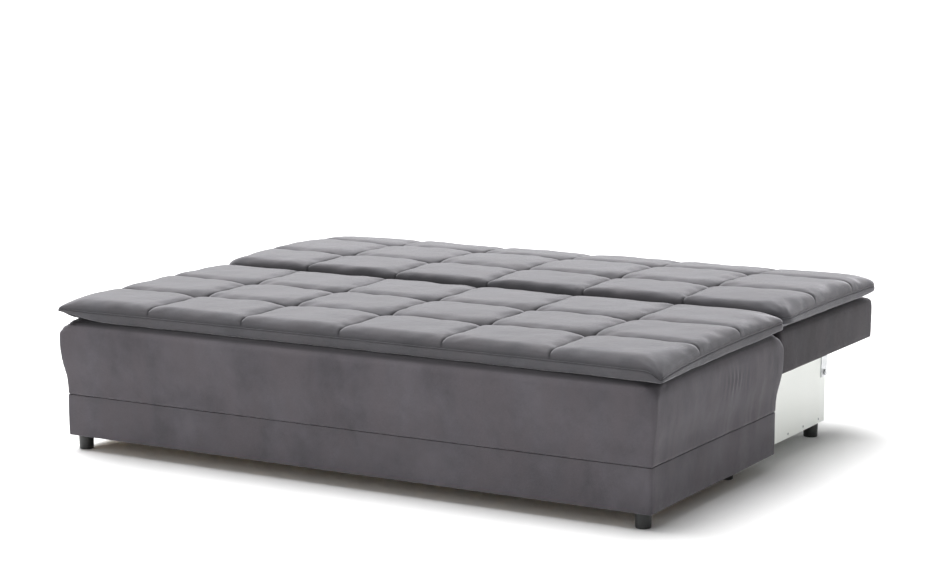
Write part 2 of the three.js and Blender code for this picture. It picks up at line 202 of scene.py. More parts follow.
def melamine(name):
    n = Nodes(name)
    tone = n.ramp(n.noise(2.5, 2.0), [(0.35, (0.88, 0.905, 0.86)), (0.65, (0.91, 0.93, 0.89))])
    speck = n.ramp(n.noise(240.0, 2.0, 0.7), [(0.66, (1.0,)), (0.74, (0.93,))])
    colour = n.mix(1.0, tone, speck, blend="MULTIPLY")
    normal = n.bump(n.noise(420.0, 3.0, 0.6), 0.15, 0.0003)
    rough = n.ramp(n.noise(14.0, 3.0), [(0.3, (0.38,)), (0.7, (0.5,))])
    return n.finish(colour, rough, normal, Specular_IOR_Level=0.45)


def chipboard(name):
    n = Nodes(name)
    flakes = n.add("ShaderNodeTexVoronoi")
    flakes.inputs["Scale"].default_value = 260
    n.link(n.place, flakes.inputs["Vector"])
    stops = [(0.2, (0.36, 0.23, 0.11)), (0.5, (0.55, 0.38, 0.2)), (0.85, (0.7, 0.54, 0.33))]
    tone = n.ramp(flakes.outputs["Color"], stops)
    shade = n.ramp(n.noise(12.0, 3.0), [(0.3, (0.88,)), (0.7, (1.0,))])
    colour = n.mix(1.0, tone, shade, blend="MULTIPLY")
    normal = n.bump(flakes.outputs["Distance"], 0.3, 0.0008)
    return n.finish(colour, 0.85, normal)


def timber(name):
    n = Nodes(name)
    grain = n.noise(40.0, 4.0, 0.6, stretch=(0.06, 1.0, 1.0))
    stops = [(0.3, (0.42, 0.25, 0.11)), (0.55, (0.6, 0.4, 0.2)), (0.8, (0.7, 0.51, 0.29))]
    tone = n.ramp(grain, stops)
    normal = n.bump(grain, 0.3, 0.0007)
    return n.finish(tone, 0.7, normal)


def zinc(name):
    n = Nodes(name)
    cloud = n.noise(55.0, 4.0, 0.6)
    tone = n.ramp(cloud, [(0.3, (0.42, 0.43, 0.44)), (0.7, (0.58, 0.59, 0.6))])
    brushing = n.noise(180.0, 3.0, 0.6, stretch=(1.0, 0.2, 1.0))
    rough = n.ramp(brushing, [(0.3, (0.3,)), (0.7, (0.48,))])
    normal = n.bump(n.noise(300.0, 2.0, 0.6, stretch=(1.0, 0.15, 1.0)), 0.12, 0.0002)
    return n.finish(tone, rough, normal, Metallic=0.85)


def plastic(name):
    n = Nodes(name)
    tone = n.ramp(n.noise(30.0, 3.0), [(0.3, (0.012, 0.013, 0.013)), (0.7, (0.02, 0.021, 0.021))])
    rough = n.ramp(n.noise(90.0, 3.0), [(0.3, (0.36,)), (0.7, (0.52,))])
    normal = n.bump(n.noise(700.0, 2.0, 0.6), 0.2, 0.0002)
    return n.finish(tone, rough, normal)


def foam_look(name):
    n = Nodes(name)
    cells = n.add("ShaderNodeTexVoronoi")
    cells.inputs["Scale"].default_value = 420
    n.link(n.place, cells.inputs["Vector"])
    tone = n.ramp(n.noise(5.0, 3.0), [(0.3, (0.74, 0.66, 0.46)), (0.7, (0.83, 0.77, 0.6))])
    normal = n.bump(cells.outputs["Distance"], 0.5, 0.0012)
    return n.finish(tone, 0.95, normal)


def dust_cloth(name):
    n = Nodes(name)
    fibre = n.noise(480.0, 4.0, 0.7, stretch=(1.0, 0.4, 1.0))
    tone = n.ramp(fibre, [(0.3, (0.011, 0.011, 0.012)), (0.7, (0.03, 0.03, 0.032))])
    normal = n.bump(fibre, 0.5, 0.0006)
    return n.finish(tone, 0.9, normal, Sheen_Weight=0.2, Sheen_Roughness=0.5)


PAD_TONES = (0.078, 0.0765, 0.083), (0.087, 0.081, 0.086)
BODY_TONES = (0.088, 0.082, 0.091), (0.097, 0.086, 0.093)
# painted shade: the back cover uses a darker copy of the body velvet, standing for the shade on the
# back unit
SHADED_BACK_TONES = (0.054, 0.050, 0.054), (0.060, 0.052, 0.056)
LOOKS = {
    "pad_velvet": velvet("pad_velvet", *PAD_TONES, 1.0),
    "body_velvet": velvet("body_velvet", *BODY_TONES, 0.6),
    "back_velvet": velvet("back_velvet", *SHADED_BACK_TONES, 0.4),
    "white_board": melamine("white_board"),
    "raw_board": chipboard("raw_board"),
    "timber": timber("timber"),
    "steel": zinc("steel"),
    "black_plastic": plastic("black_plastic"),
    "foam": foam_look("foam"),
    "dust_cloth": dust_cloth("dust_cloth"),
}


# ---- Mesh helpers --------------------------------------------------------------------------------
def new_object(name, points, faces, look, node):
    """A piece of its own that stands for a CAD node."""
    mesh = bpy.data.meshes.new(name)
    mesh.from_pydata([tuple(p) for p in points], [], [tuple(f) for f in faces])
    mesh.update()
    obj = bpy.data.objects.new(name, mesh)
    bpy.context.scene.collection.objects.link(obj)
    mesh.materials.append(LOOKS[look])
    mesh.shade_smooth()
    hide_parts(node)
    return obj


def apply_modifiers(obj):
    graph = bpy.context.evaluated_depsgraph_get()
    mesh = bpy.data.meshes.new_from_object(obj.evaluated_get(graph))
    obj.modifiers.clear()
    obj.data = mesh
    return obj


def fractal(point, scale, seed=0.0):
    """Smooth noise with three octaves; the seed moves it elsewhere."""
    offset = Vector((seed, seed * 1.7, seed * 0.3))
    return noise.fractal(Vector(point) * scale + offset, 0.9, 2.1, 3)


def bell(distance, width):
    """1 at distance 0, fading over about the width."""
    return math.exp(-((distance / width) ** 2))


def ramp_up(value, start, end):
    """Smooth step from 0 at start to 1 at end."""
    t = min(max((value - start) / (end - start), 0.0), 1.0)
    return t * t * (3 - 2 * t)


# ---- Tufted pads ---------------------------------------------------------------------------------
COLUMNS = 6
ROWS = 3
CELLS_ACROSS = 22  # grid cells in one panel, along X
CELLS_DEEP = 20  # and along Y
CROWDING = 0.86  # how much the grid lines crowd at the seams
ROLL = 0.037  # how far in the top rolls over to its border
ROLL_POWER = 2.7  # a higher power keeps the top flat for longer
CORNER_ROLL = 0.075  # extra roll at a corner
CORNER_REACH = 0.12  # from the corner
TIGHT_ROLL = 0.45  # share of the roll along the joint between the two pads
SIDE_DIP_WIDTH = 0.045  # in from the right side
SIDE_DIP_LENGTH = 0.38  # share of the depth
SEAM_PULL = 0.004  # depth of the valley along a seam
CROSSING_PULL = 0.006  # extra depth next to a crossing
CROSSING_REACH_X = 0.07  # of the extra depth, along X
CROSSING_REACH_Y = 0.055  # and along Y
REAR_FADE = 0.6  # share by which the seams along Y get shallower at the rear
VALLEY_WIDTH = 0.011
STITCH_DEPTH = 0.0042
STITCH_WIDTH = 0.0034
DIMPLE_DEPTH = 0.011
DIMPLE_WIDTH = 0.026
DIMPLE_STRETCH = 1.7  # dimples are longer along X
DIMPLE_POWER = 2.4  # a higher power flattens their floor
SEAM_SHADE_WIDTH = 0.0042  # painted shade on a seam
DIMPLE_SHADE, DIMPLE_SHADE_WIDTH = 0.75, 0.02
PUFF_HEIGHT, PUFF_POWER = 0.002, 3.0
GATHER_DEPTH = 0.0042  # folds at the front right corner
GATHER_AWAY, GATHER_WIDTH = 0.035, 0.03
PUCKER_DEPTH = 0.0022  # folds along the border
PUCKER_AWAY, PUCKER_WIDTH = 0.02, 0.025
UNEVEN_HEIGHT = 0.0026
BORDER_SHADE = 0.55  # painted shade on the border seam
SEAM_CREASE = 0.75
SEAT_RISE = 0.009  # the rear of the seat lies this much higher than its front
PAD_CLEARANCE = 0.0006  # between a pad and what it lies on
UNDER_INSET = 0.08  # of the flat underside
TIP_REACH = 0.095  # how far from a corner the band thins
BAND_UNEVEN = 0.05
# (outset, share of the band's height below the border seam)
BAND_PROFILE = [
    (-0.0022, 0.04),
    (-0.0034, 0.09),
    (-0.0004, 0.15),
    (0.0010, 0.24),
    (0.0018, 0.42),
    (0.0014, 0.66),
    (0.0004, 0.86),
    (-0.0020, 0.96),
    (-0.0060, 1.00),
]
# (inset, share of the way from the band's foot to the surface it lies on)
UNDER_PROFILE = [(0.016, 0.22), (0.034, 0.62), (0.060, 0.95), (0.085, 1.0)]


def lines(breaks, cells):
    """Grid lines between the breaks, crowded together at each of them."""
    places = []
    for a, b in zip(breaks, breaks[1:]):
        for i in range(cells):
            t = i / cells
            places.append(a + (b - a) * (t - CROWDING * math.sin(2 * math.pi * t) / (2 * math.pi)))
    return places + [breaks[-1]]


def panel_share(value, breaks):
    """0 in the middle of a panel and 1 on its seams."""
    for a, b in zip(breaks, breaks[1:]):
        if value <= b:
            return abs(2 * (value - a) / (b - a) - 1)
    return 1.0


def roll_profile(distance, width):
    """0 at the border and 1 well inside."""
    t = min(max(distance / width, 0.0), 1.0)
    return (1 - (1 - t) ** ROLL_POWER) ** (1 / ROLL_POWER)


def round_corner(x, y, low, high, radius):
    """Moves a point of the rectangle into the same rectangle with rounded corners."""
    side_x = 1 if x > (low.x + high.x) / 2 else -1
    side_y = 1 if y > (low.y + high.y) / 2 else -1
    edge_x = high.x if side_x > 0 else low.x
    edge_y = high.y if side_y > 0 else low.y
    a = 1 - abs(edge_x - x) / radius
    b = 1 - abs(edge_y - y) / radius
    if a <= 0 or b <= 0:
        return x, y
    new_a = a * math.sqrt(1 - b * b / 2)
    new_b = b * math.sqrt(1 - a * a / 2)
    return edge_x - side_x * radius * (1 - new_a), edge_y - side_y * radius * (1 - new_b)


def valley(away, near, reach):
    """Depth of a seam at a distance from it; near is the distance to the next crossing."""
    pull = SEAM_PULL + CROSSING_PULL * bell(near, reach)
    return pull * math.exp(-away / VALLEY_WIDTH) + STITCH_DEPTH * bell(away, STITCH_WIDTH)


class PadShape:
    """Everything that sets one pad's form."""

    def __init__(self, node, seam, top, radius, pull, band, tips, rise, dip, rows, tight_front):
        self.low, self.high = span(node)
        self.seam_front, self.seam_rear = seam  # height of the border seam
        self.top = top  # height of the top at the front, in the middle and at the rear
        self.radius = radius  # of the corners, seen from above
        self.pull = pull  # how far the sides pull in between the corners
        self.band = band  # height of the boxing band
        self.tips = tips  # share by which the band thins at each corner
        self.rise = rise  # how much higher the rear lies than the front
        self.dip = dip  # of the right border seam near the front
        self.tight_front = tight_front  # the narrow roll is at the front, else at the rear
        width = self.high.x - self.low.x
        depth = self.high.y - self.low.y
        self.breaks_x = [self.low.x + width * i / COLUMNS for i in range(COLUMNS + 1)]
        self.breaks_y = [self.low.y + depth * i / ROWS for i in range(ROWS + 1)]
        for index, shift in enumerate(rows, start=1):
            self.breaks_y[index] -= shift
        self.seams_x = self.breaks_x[1:-1]
        self.seams_y = self.breaks_y[1:-1]

    def corners(self):
        """Front left, front right, rear left, rear right."""
        return [(x, y) for y in (self.low.y, self.high.y) for x in (self.low.x, self.high.x)]

    def share(self, y):
        return (y - self.low.y) / (self.high.y - self.low.y)

    def rest_z(self, y):
        """Height of what the pad lies on."""
        return self.low.z + PAD_CLEARANCE + self.rise * self.share(y)

    def side_dip(self, x, y):
        """The border seam runs low along the right side near the front corner."""
        across = ramp_up(x, self.high.x - SIDE_DIP_WIDTH, self.high.x)
        return self.dip * across * math.exp(-self.share(y) / SIDE_DIP_LENGTH)

    def seam_z(self, x, y):
        """Height of the border seam's level at a point."""
        level = self.seam_front + (self.seam_rear - self.seam_front) * self.share(y)
        return level - self.side_dip(x, y)

    def top_z(self, y):
        """The crowned top, a parabola through the three heights."""
        t = self.share(y)
        front, middle, rear = self.top
        return front * (1 - t) * (1 - 2 * t) + 4 * middle * t * (1 - t) + rear * t * (2 * t - 1)

    def plan(self, x, y):
        """Sides that pull in between the corners, and rounded corners."""
        x, y = round_corner(x, y, self.low, self.high, self.radius)
        middle_y = (self.low.y + self.high.y) / 2
        half_y = (self.high.y - self.low.y) / 2
        u = x / self.high.x
        v = (y - middle_y) / half_y
        x -= self.pull * u * (1 - v * v)
        y -= self.pull * v * (1 - u**4)
        return x, y

    def surface_z(self, x, y):
        """Height of the top without its seams, and how far up the roll it is, 0 to 1."""
        edge_x = min(x - self.low.x, self.high.x - x)
        edge_y = min(y - self.low.y, self.high.y - y)
        near = min(math.hypot(x - cx, y - cy) for cx, cy in self.corners())
        width = ROLL + CORNER_ROLL * bell(near, CORNER_REACH)
        near_front = y - self.low.y < self.high.y - y
        width_y = width * (TIGHT_ROLL if near_front == self.tight_front else 1.0)
        full = roll_profile(edge_x, width) * roll_profile(edge_y, width_y)
        seam = self.seam_z(x, y)
        return seam + (self.top_z(y) - seam) * full, full

    def seam_drop(self, x, y):
        """How deep the quilting pulls the top in at a point."""
        drop = 0.0
        fade = 1 - REAR_FADE * ramp_up(y, self.high.y - 0.16, self.high.y - 0.03)
        for sx in self.seams_x:
            near = min(abs(y - sy) for sy in self.seams_y)
            drop = max(drop, valley(abs(x - sx), near, CROSSING_REACH_Y) * fade)
        for sy in self.seams_y:
            near = min(abs(x - sx) for sx in self.seams_x)
            drop = max(drop, valley(abs(y - sy), near, CROSSING_REACH_X))
        for sx in self.seams_x:
            for sy in self.seams_y:
                r = math.hypot((x - sx) / DIMPLE_STRETCH, y - sy)
                drop += DIMPLE_DEPTH * math.exp(-((r / DIMPLE_WIDTH) ** DIMPLE_POWER))
        return drop

    def near_seam(self, x, y):
        """Mask of painted shade: 1 on a quilting seam or in a dimple, 0 away from them."""
        away_x = min(abs(x - sx) for sx in self.seams_x)
        away_y = min(abs(y - sy) for sy in self.seams_y)
        dimple = math.hypot(away_x / DIMPLE_STRETCH, away_y)
        on_seam = bell(min(away_x, away_y), SEAM_SHADE_WIDTH)
        return max(on_seam, DIMPLE_SHADE * bell(dimple, DIMPLE_SHADE_WIDTH))

    def puff(self, x, y):
        """How far a panel rises between its seams."""
        a = panel_share(x, self.breaks_x)
        b = panel_share(y, self.breaks_y)
        return PUFF_HEIGHT * (1 - a**PUFF_POWER) * (1 - b**PUFF_POWER)

    def folds(self, x, y):
        """Short gathers from the front right corner and along the border, and soft unevenness."""
        cx, cy = self.high.x, self.low.y
        away = math.hypot(x - cx, y - cy)
        turn = math.atan2(y - cy, cx - x)
        gathers = GATHER_DEPTH * math.sin(turn * 11 + 1.2) * bell(away - GATHER_AWAY, GATHER_WIDTH)
        edge = min(x - self.low.x, self.high.x - x, y - self.low.y, self.high.y - y)
        puckers = PUCKER_DEPTH * fractal((x, y, 0.0), 17.0, 12.0)
        puckers *= bell(edge - PUCKER_AWAY, PUCKER_WIDTH)
        return gathers + puckers + UNEVEN_HEIGHT * fractal((x, y, 0.0), 6.0, 40.0)


def pad_rings(shape, border):
    """The rings below the top sheet: seam, bulging boxing band, lip and underside."""
    count = len(border)
    corners = [(x, y, tip) for (x, y), tip in zip(shape.corners(), shape.tips)]
    walls = []
    for i, (x, y, z) in enumerate(border):
        ax, ay, _ = border[i - 1]
        bx, by, _ = border[(i + 1) % count]
        length = math.hypot(bx - ax, by - ay) or 1.0
        thin = 1.0
        for cx, cy, tip in corners:
            thin -= tip * bell(math.hypot(x - cx, y - cy), TIP_REACH)
        gather = 1 + BAND_UNEVEN * fractal((x, y, 0.0), 14.0, 31.0)
        height = shape.band * thin * gather - shape.side_dip(x, y)
        walls.append((x, y, z, (by - ay) / length, -(bx - ax) / length, height))
    rings = []
    for outset, share in BAND_PROFILE:
        ring = []
        for x, y, z, out_x, out_y, height in walls:
            ring.append((x + out_x * outset, y + out_y * outset, z - height * share))
        rings.append(ring)
    for inset, share in UNDER_PROFILE:
        ring = []
        for x, y, z, out_x, out_y, height in walls:
            foot = z - height
            level = foot + (shape.rest_z(y) - foot) * share
            ring.append((x - out_x * inset, y - out_y * inset, level))
        rings.append(ring)
    return rings


def border_index(nx, ny):
    """Grid indices round the sheet's edge, counter-clockwise seen from above."""
    front = [(i, 0) for i in range(nx)]
    right = [(nx, j) for j in range(ny)]
    rear = [(i, ny) for i in range(nx, 0, -1)]
    left = [(0, j) for j in range(ny, 0, -1)]
    return front + right + rear + left


def make_pad(name, shape, node):
    """Top grid, rings down the sides and an underside grid, as one closed mesh."""
    xs = lines(shape.breaks_x, CELLS_ACROSS)
    ys = lines(shape.breaks_y, CELLS_DEEP)
    nx, ny = len(xs) - 1, len(ys) - 1
    points, flat = [], []
    for y in ys:
        for x in xs:
            z, full = shape.surface_z(x, y)
            z += (shape.puff(x, y) - shape.seam_drop(x, y)) * full
            z += shape.folds(x, y) * min(1.0, full * 1.4)
            points.append((*shape.plan(x, y), z))
            flat.append((x, y))
    faces = []
    for j in range(ny):
        for i in range(nx):
            a = j * (nx + 1) + i
            faces.append((a, a + 1, a + nx + 2, a + nx + 1))
    edge = border_index(nx, ny)
    last = [j * (nx + 1) + i for i, j in edge]
    border = [points[i] for i in last]
    for ring in pad_rings(shape, border):
        start = len(points)
        points.extend(ring)
        count = len(ring)
        for i in range(count):
            k = (i + 1) % count
            faces.append((last[i], start + i, start + k, last[k]))
        last = list(range(start, start + count))
    under = dict(zip(edge, last))
    middle_y = (shape.low.y + shape.high.y) / 2
    shrink_x = 1 - UNDER_INSET / shape.high.x
    shrink_y = 1 - UNDER_INSET / (shape.high.y - middle_y)
    for j in range(1, ny):
        for i in range(1, nx):
            x, y, _ = points[j * (nx + 1) + i]
            under[(i, j)] = len(points)
            points.append((x * shrink_x, middle_y + (y - middle_y) * shrink_y, shape.rest_z(y)))
    for j in range(ny):
        for i in range(nx):
            square = ((i, j), (i, j + 1), (i + 1, j + 1), (i + 1, j))
            faces.append(tuple(under[corner] for corner in square))
    pad = new_object(name, points, faces, "pad_velvet", node)
    # painted shade, stored for the velvet: darker on the quilting seams, in the dimples and on the
    # border seam
    shade = pad.data.attributes.new("seam", "FLOAT", "POINT")
    for index, (x, y) in enumerate(flat):
        shade.data[index].value = shape.near_seam(x, y)
    for i, j in edge:
        shade.data[j * (nx + 1) + i].value = BORDER_SHADE
    return pad, xs, ys


CLOTH_FRAMES = 20
PUFF_LIMIT = 0.0025  # how far the cloth run may move a point


def puff_with_cloth(pad, xs, ys):
    """Inflates the pad's top between its seams with a short cloth run, then keeps the result."""
    count = len(xs) * len(ys)
    group = pad.vertex_groups.new(name="sewn")
    held = []
    for index in range(len(pad.data.vertices)):
        i, j = index % len(xs), index // len(xs)
        if index >= count or i % CELLS_ACROSS == 0 or j % CELLS_DEEP == 0:
            held.append(index)
    group.add(held, 1.0, "REPLACE")
    cloth = pad.modifiers.new("puff", "CLOTH")
    settings = cloth.settings
    settings.quality = 6
    settings.mass = 0.35
    settings.tension_stiffness = 12
    settings.compression_stiffness = 12
    settings.shear_stiffness = 4
    settings.bending_stiffness = 0.6
    settings.shrink_min = -0.003
    settings.use_pressure = True
    settings.uniform_pressure_force = 1.0
    settings.vertex_group_mass = "sewn"
    settings.effector_weights.gravity = 0.0
    cloth.collision_settings.use_collision = False
    cloth.point_cache.frame_start, cloth.point_cache.frame_end = 1, CLOTH_FRAMES
    before = np.array([v.co for v in pad.data.vertices])
    scene = bpy.context.scene
    for step in range(1, CLOTH_FRAMES + 1):
        scene.frame_set(step)
    apply_modifiers(pad)
    after = np.array([v.co for v in pad.data.vertices])
    pad.vertex_groups.clear()
    scene.frame_set(1)
    move = after - before
    length = np.linalg.norm(move, axis=1, keepdims=True)
    move *= np.minimum(1.0, PUFF_LIMIT / np.maximum(length, 1e-9))
    for vertex, place in zip(pad.data.vertices, before + move):
        vertex.co = place


def crease_seams(pad, xs, ys):
    """Marks the seam edges so that smoothing keeps them narrow."""
    attribute = pad.data.attributes.new("crease_edge", "FLOAT", "EDGE")
    width = len(xs)
    count = width * len(ys)
    for edge in pad.data.edges:
        a, b = edge.vertices
        if max(a, b) >= count:
            continue
        same_column = a % width == b % width and (a % width) % CELLS_ACROSS == 0
        same_row = a // width == b // width and (a // width) % CELLS_DEEP == 0
        if same_column or same_row:
            attribute.data[edge.index].value = SEAM_CREASE


def smooth_once(obj):
    modifier = obj.modifiers.new("smooth", "SUBSURF")
    modifier.levels = modifier.render_levels = 1
    apply_modifiers(obj)
    obj.data.shade_smooth()


def finish_pad(name, shape, body, node):
    pad, xs, ys = make_pad(name, shape, node)
    puff_with_cloth(pad, xs, ys)
    crease_seams(pad, xs, ys)
    smooth_once(pad)
    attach(pad, body)


seat_pad_shape = PadShape(
    "seat_pad",
    seam=(0.4265, 0.4385),
    top=(0.455, 0.463, 0.466),
    radius=0.013,
    pull=0.014,
    band=0.031,
    tips=(0.74, 0.0, 0.3, 0.2),
    rise=SEAT_RISE,
    dip=0.020,
    rows=(0.008, 0.010),
    tight_front=False,
)
back_pad_shape = PadShape(
    "back_pad",
    seam=(0.4460, 0.4460),
    top=(0.479, 0.488, 0.471),
    radius=0.05,
    pull=0.012,
    band=0.027,
    tips=(0.2, 0.2, 0.3, 0.3),
    rise=0.0,
    dip=0.004,
    rows=(0.008, -0.040),
    tight_front=True,
)
finish_pad("seat_pad_tufted", seat_pad_shape, "seat_unit", "seat_pad")
finish_pad("back_pad_tufted", back_pad_shape, "back_unit", "back_pad")


# ---- Upholstered bodies --------------------------------------------------------------------------
CORNER_STEPS = 6


def outline_points(half_x, y0, y1, radius, spacing):
    """Points round a rounded rectangle, counter-clockwise from its front right corner."""
    points = []
    corners = [
        (half_x - radius, y0 + radius, -90),
        (half_x - radius, y1 - radius, 0),
        (-half_x + radius, y1 - radius, 90),
        (-half_x + radius, y0 + radius, 180),
    ]
    counts = [round((y1 - y0) / spacing), round(2 * half_x / spacing)]

    def on_arc(corner, turn):
        cx, cy, start = corner
        angle = math.radians(start + turn)
        return cx + radius * math.cos(angle), cy + radius * math.sin(angle)

    for index, corner in enumerate(corners):
        arc = [on_arc(corner, 90 * i / CORNER_STEPS) for i in range(CORNER_STEPS + 1)]
        points.extend(arc)
        x, y = arc[-1]
        next_x, next_y = on_arc(corners[(index + 1) % 4], 0)
        steps = counts[index % 2]
        for i in range(1, steps):
            t = i / steps
            points.append((x + (next_x - x) * t, y + (next_y - y) * t))
    return points


def ring_body(name, levels, spacing, look, node, ripple):
    """A closed upholstered block through rings. A level is (half_x, y0, y1, radius, z)."""
    rings = []
    for half_x, y0, y1, radius, z in levels:
        ring = [Vector((x, y, z)) for x, y in outline_points(half_x, y0, y1, radius, spacing)]
        rings.append(ring)
    count = min(len(r) for r in rings)
    points, faces = [], []
    for ring in rings:
        for p in ring[:count]:
            points.append(ripple(p))
    for level in range(len(rings) - 1):
        for i in range(count):
            k = (i + 1) % count
            a, b = level * count, (level + 1) * count
            faces.append((a + i, a + k, b + k, b + i))
    for level, flip in ((0, True), (len(rings) - 1, False)):
        start = level * count
        centre = sum((Vector(points[start + i]) for i in range(count)), Vector()) / count
        middle = len(points)
        points.append(centre)
        for i in range(count):
            k = (i + 1) % count
            faces.append((start + k, start + i, middle) if flip else (start + i, start + k, middle))
    return new_object(name, points, faces, look, node)


def carve(obj, boxes):
    """Cuts plain boxes out of obj, for the board frame inside it and for openings."""
    cutters = []
    for low, high in boxes:
        tool = bmesh.new()
        bmesh.ops.create_cube(tool, size=1.0)
        for v in tool.verts:
            v.co = Vector([low[i] + (high[i] - low[i]) * (v.co[i] + 0.5) for i in range(3)])
        mesh = bpy.data.meshes.new("cutter")
        tool.to_mesh(mesh)
        tool.free()
        cutter = bpy.data.objects.new("cutter", mesh)
        bpy.context.scene.collection.objects.link(cutter)
        cutters.append(cutter)
        modifier = obj.modifiers.new("cut", "BOOLEAN")
        modifier.object = cutter
        modifier.solver = "EXACT"
    bpy.context.view_layer.update()
    apply_modifiers(obj)
    for cutter in cutters:
        mesh = cutter.data
        bpy.data.objects.remove(cutter)
        bpy.data.meshes.remove(mesh)


seat_low, seat_high = span("seat_upper_cover")
plinth_low, plinth_high = span("seat_plinth_cover")
board_high = span("seat_side_board_right")[1]
front_board_low = span("seat_front_board")[0]
PLINTH_X = plinth_high.x
PLINTH_DEPTH = plinth_high.y - plinth_low.y
FLARE = plinth_low.y - seat_low.y
SEAM_Z = plinth_high.z
BOARD_CLEARANCE = 0.0003  # between a cover and the boards inside it
OPENING_TOP = 0.288  # the rear of the seat is open below this, for the bedding box
COVER_SPACING = 0.007  # between points round the upper cover
PLAIN_SPACING = 0.016  # and round the other covers
WAVE_HEIGHT = 0.0028
SEAT_PUCKER_HEIGHT = 0.0007
LEAN = 0.0042  # how far the walls stand out above the seam
CREASE_X = 0.9  # the creases are on the wall beyond this
CREASE_Y = -0.29
CREASE_DROP = 0.085  # below the top
CREASE_DEPTH = 0.0022
CREASE_COUNT = 250  # radians per metre
SHOULDER_SET_BACK = 0.008  # along the front


def interpolate(table, z):
    """Value at z in a table of (z, value)."""
    for (z0, a), (z1, b) in zip(table, table[1:]):
        if z <= z1:
            t = (z - z0) / (z1 - z0)
            return a + (b - a) * t
    return table[-1][1]


def seat_level(outset, radius, z):
    """A ring of the seat that stands out from the plinth by the outset."""
    return (PLINTH_X + outset, plinth_low.y - outset, plinth_high.y + outset, radius, z)


def seat_tilt(y):
    """How much higher the seat's top lies here than at its front."""
    return SEAT_RISE * (y - plinth_low.y) / PLINTH_DEPTH


def push_out(p, centre_y, half_x, half_y, amount, z):
    """Moves a wall point outwards, along X or Y, whichever wall of the block is nearer."""
    if half_y - abs(p.y - centre_y) < half_x - abs(p.x):
        return Vector((p.x, p.y + math.copysign(amount, p.y - centre_y), z))
    return Vector((p.x + math.copysign(amount, p.x), p.y, z))


def side_creases(p):
    """Short upright creases on the right side, under the pad."""
    if p.x <= CREASE_X:
        return 0.0
    stripes = 1 + math.sin(p.y * CREASE_COUNT + 0.8 * math.sin(p.z * 90))
    height = p.z - seat_high.z + CREASE_DROP
    return CREASE_DEPTH * stripes * bell(height, 0.026) * bell(p.y - CREASE_Y, 0.075)


def seat_ripple(p):
    """Slack in the cover: long soft waves, short upright puckers above the seam, a lean."""
    z = p.z
    side = 1 - min(max((z - (seat_high.z - 0.03)) / 0.03, 0), 1)
    wave = fractal((p.x, p.y, z * 0.6), 5.5, 3.0) * WAVE_HEIGHT
    pucker = fractal((p.x, p.y, z * 0.12), 42.0, 8.0) * SEAT_PUCKER_HEIGHT
    lean = LEAN * min(max((z - SEAM_Z) / 0.14, 0), 1) * (0.5 - 0.3 * p.x - 0.25 * p.y)
    amount = (wave + pucker * (0.35 + bell(z - SEAM_Z, 0.05))) * side + lean - side_creases(p)
    if p.y < plinth_low.y + 0.06:
        amount -= SHOULDER_SET_BACK * ramp_up(z, SEAM_Z + 0.196, SEAM_Z + 0.222)
    z += ramp_up(z, SEAM_Z + 0.17, SEAM_Z + 0.22) * seat_tilt(p.y)
    return push_out(p, (plinth_low.y + plinth_high.y) / 2, PLINTH_X, PLINTH_DEPTH / 2, amount, z)


def paint_shoulder_shade(cover):
    """Painted shade on the cover's shoulder, where the pad overhangs it."""
    shade = cover.data.attributes.new("seam", "FLOAT", "POINT")
    for vertex in cover.data.vertices:
        height = vertex.co.z - seat_tilt(vertex.co.y)
        shade.data[vertex.index].value = ramp_up(height, SEAM_Z + 0.209, SEAM_Z + 0.219)


# (height over the seam, outset from the plinth)
UPPER_PROFILE = [
    (0.0, -0.0060),
    (0.0014, -0.0012),
    (0.0040, 0.0006),
    (0.030, 0.0014),
    (0.055, FLARE * 0.22),
    (0.085, FLARE * 0.6),
    (0.115, FLARE * 0.9),
    (0.15, FLARE * 1.02),
    (0.18, FLARE * 1.02),
    (0.194, FLARE * 0.96),
    (0.205, FLARE * 0.76),
    (0.213, FLARE * 0.42),
    (0.220, -0.001),
    (0.2255, -0.014),
    (0.2285, -0.032),
    (0.2300, -0.064),
]
UPPER_HEIGHTS = [0, 0.0015, 0.003, 0.006, 0.012, 0.03, 0.05, 0.07, 0.09, 0.11, 0.13, 0.15]
UPPER_HEIGHTS += [0.163, 0.176, 0.184, 0.192, 0.199, 0.205, 0.210, 0.215, 0.219, 0.222]
UPPER_HEIGHTS += [0.225, 0.227, 0.2285, 0.2295, 0.2300]
# (height over the plinth's foot, outset)
PLINTH_PROFILE = [
    (0.0, -0.0015),
    (0.002, 0.0),
    (0.03, 0.0006),
    (0.062, 0.0008),
    (0.095, 0.0006),
    (0.1215, 0.0002),
    (0.1238, -0.0004),
    (0.1248, -0.0022),
]


def seat_hollow():
    """The room for the seat's boards, and the opening at its rear."""
    x = board_high.x + BOARD_CLEARANCE
    front = front_board_low.y - BOARD_CLEARANCE
    inside = (
        (-x, front, 0.0),
        (x, board_high.y + BOARD_CLEARANCE, board_high.z + BOARD_CLEARANCE),
    )
    opening = ((-x, board_high.y - 0.04, 0.0), (x, seat_high.y + 0.1, OPENING_TOP))
    return [inside, opening]


def make_seat_covers():
    levels = []
    for h in UPPER_HEIGHTS:
        radius = 0.008 + 0.006 * min(h / 0.17, 1) + 0.045 * max(0.0, (h - 0.185) / 0.045)
        outset = interpolate(UPPER_PROFILE, h)
        levels.append(seat_level(outset, radius, SEAM_Z + BOARD_CLEARANCE + h))
    name, node = "seat_upper_cover_velvet", "seat_upper_cover"
    cover = ring_body(name, levels, COVER_SPACING, "body_velvet", node, seat_ripple)
    carve(cover, seat_hollow())
    paint_shoulder_shade(cover)
    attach(cover, "seat_unit")

    levels = [seat_level(outset, 0.007, plinth_low.z + h) for h, outset in PLINTH_PROFILE]
    name, node = "seat_plinth_velvet", "seat_plinth_cover"
    band = ring_body(name, levels, PLAIN_SPACING, "body_velvet", node, seat_ripple)
    carve(band, seat_hollow())
    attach(band, "seat_unit")


make_seat_covers()

